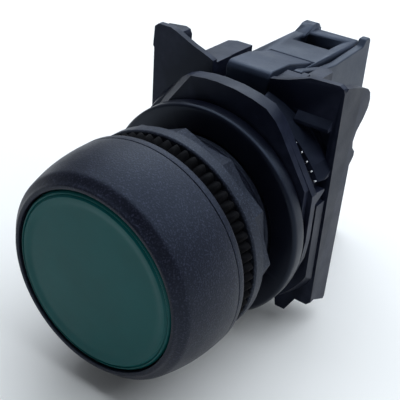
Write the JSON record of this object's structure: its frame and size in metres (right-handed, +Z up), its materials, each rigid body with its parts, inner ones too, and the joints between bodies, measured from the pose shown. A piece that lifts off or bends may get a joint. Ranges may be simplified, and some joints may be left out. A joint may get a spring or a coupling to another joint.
{
  "type": "panel push button",
  "caption": "Round flush push button for a panel hole, with a bezel, gasket, fixing nut, mounting adapter and a rear contact block with screw terminals.",
  "frame": {"origin": "on the button's axis, in the plane where the gasket's rear face meets the panel", "axes": "+Y along the button's axis from the cap towards the contact block, +Z up, +X to the right of someone facing the cap"},
  "size_m": [0.0296, 0.0535, 0.0365],
  "materials": {
    "cap_green": "smooth gloss",
    "black_plastic": "fine matte texture",
    "frame_plastic": "satin moulded",
    "black_rubber": "matte",
    "spring_steel": "drawn wire",
    "zinc_steel": "zinc plated",
    "brass_strip": "rolled strip",
    "silver_tip": "silver faced",
    "inner_plastic": "natural moulded"
  },
  "bodies": {
    "housing": {"bezel": "black_plastic", "head_body": "black_plastic", "cap_seal": "black_rubber", "panel_gasket": "black_rubber", "return_spring": "spring_steel", "adapter_frame": "frame_plastic", "lock_spring": "spring_steel", "contact_housing": "frame_plastic", "contact_cover": "frame_plastic", "fixed_contact_top": "brass_strip", "fixed_contact_bottom": "brass_strip", "fixed_tip_top": "silver_tip", "fixed_tip_bottom": "silver_tip", "contact_spring": "spring_steel"},
    "cap": {"button_cap": "cap_green", "cap_plunger": "inner_plastic", "plunger_clip": "spring_steel"},
    "nut": {"fixing_nut": "frame_plastic"},
    "ring": {"lock_ring": "frame_plastic"},
    "tongue": {"release_tongue": "frame_plastic"},
    "actuator": {"contact_plunger": "inner_plastic", "bridge_spring": "spring_steel"},
    "bridge": {"contact_bridge": "brass_strip", "bridge_tip_top": "silver_tip", "bridge_tip_bottom": "silver_tip"},
    "clamp_top": {"saddle_top": "zinc_steel"},
    "clamp_bottom": {"saddle_bottom": "zinc_steel"},
    "screw_top": {"terminal_screw_top": "zinc_steel"},
    "screw_bottom": {"terminal_screw_bottom": "zinc_steel"}
  },
  "joints": [
    {"name": "press", "type": "slide", "parent": "housing", "child": "cap", "axis": [0, 1, 0], "range_m": [0, 0.004], "stiffness_N_per_m": 600, "springref_m": -0.004, "deforming": ["return_spring"]},
    {"name": "nut_turn", "type": "hinge", "parent": "housing", "child": "nut", "pos_m": [0, 0.0023, 0], "axis": [0, 1, 0], "continuous": true},
    {"name": "ring_turn", "type": "hinge", "parent": "housing", "child": "ring", "pos_m": [0, 0.0087, 0], "axis": [0, 1, 0], "range_deg": [0, 30]},
    {"name": "tongue_flex", "type": "hinge", "parent": "housing", "child": "tongue", "pos_m": [0.0004, 0.0272, 0.0161], "axis": [-1, 0, 0], "range_deg": [0, 8], "stiffness_Nm_per_rad": 0.04},
    {"name": "actuate", "type": "slide", "parent": "housing", "child": "actuator", "axis": [0, 1, 0], "range_m": [0, 0.004], "stiffness_N_per_m": 200, "deforming": ["contact_spring"]},
    {"name": "close_contact", "type": "slide", "parent": "housing", "child": "bridge", "axis": [0, 1, 0], "range_m": [0, 0.0026], "deforming": ["bridge_spring"]},
    {"name": "clamp_top_slide", "type": "slide", "parent": "housing", "child": "clamp_top", "axis": [0, -1, 0], "range_m": [0, 0.002]},
    {"name": "screw_top_turn", "type": "hinge", "parent": "clamp_top", "child": "screw_top", "pos_m": [0.0003, 0.0375, 0.0102], "axis": [0, -1, 0], "range_deg": [0, 1440]},
    {"name": "clamp_bottom_slide", "type": "slide", "parent": "housing", "child": "clamp_bottom", "axis": [0, -1, 0], "range_m": [0, 0.002]},
    {"name": "screw_bottom_turn", "type": "hinge", "parent": "clamp_bottom", "child": "screw_bottom", "pos_m": [0.0003, 0.0375, -0.0102], "axis": [0, -1, 0], "range_deg": [0, 1440]}
  ],
  "couplings": [
    {"joint": "actuate", "follows": "press", "ratio": 1},
    {"joint": "close_contact", "follows": "press", "ratio": 0.65},
    {"joint": "screw_top_turn", "follows": "clamp_top_slide", "rad_per_m": 12560},
    {"joint": "screw_bottom_turn", "follows": "clamp_bottom_slide", "rad_per_m": 12560}
  ]
}
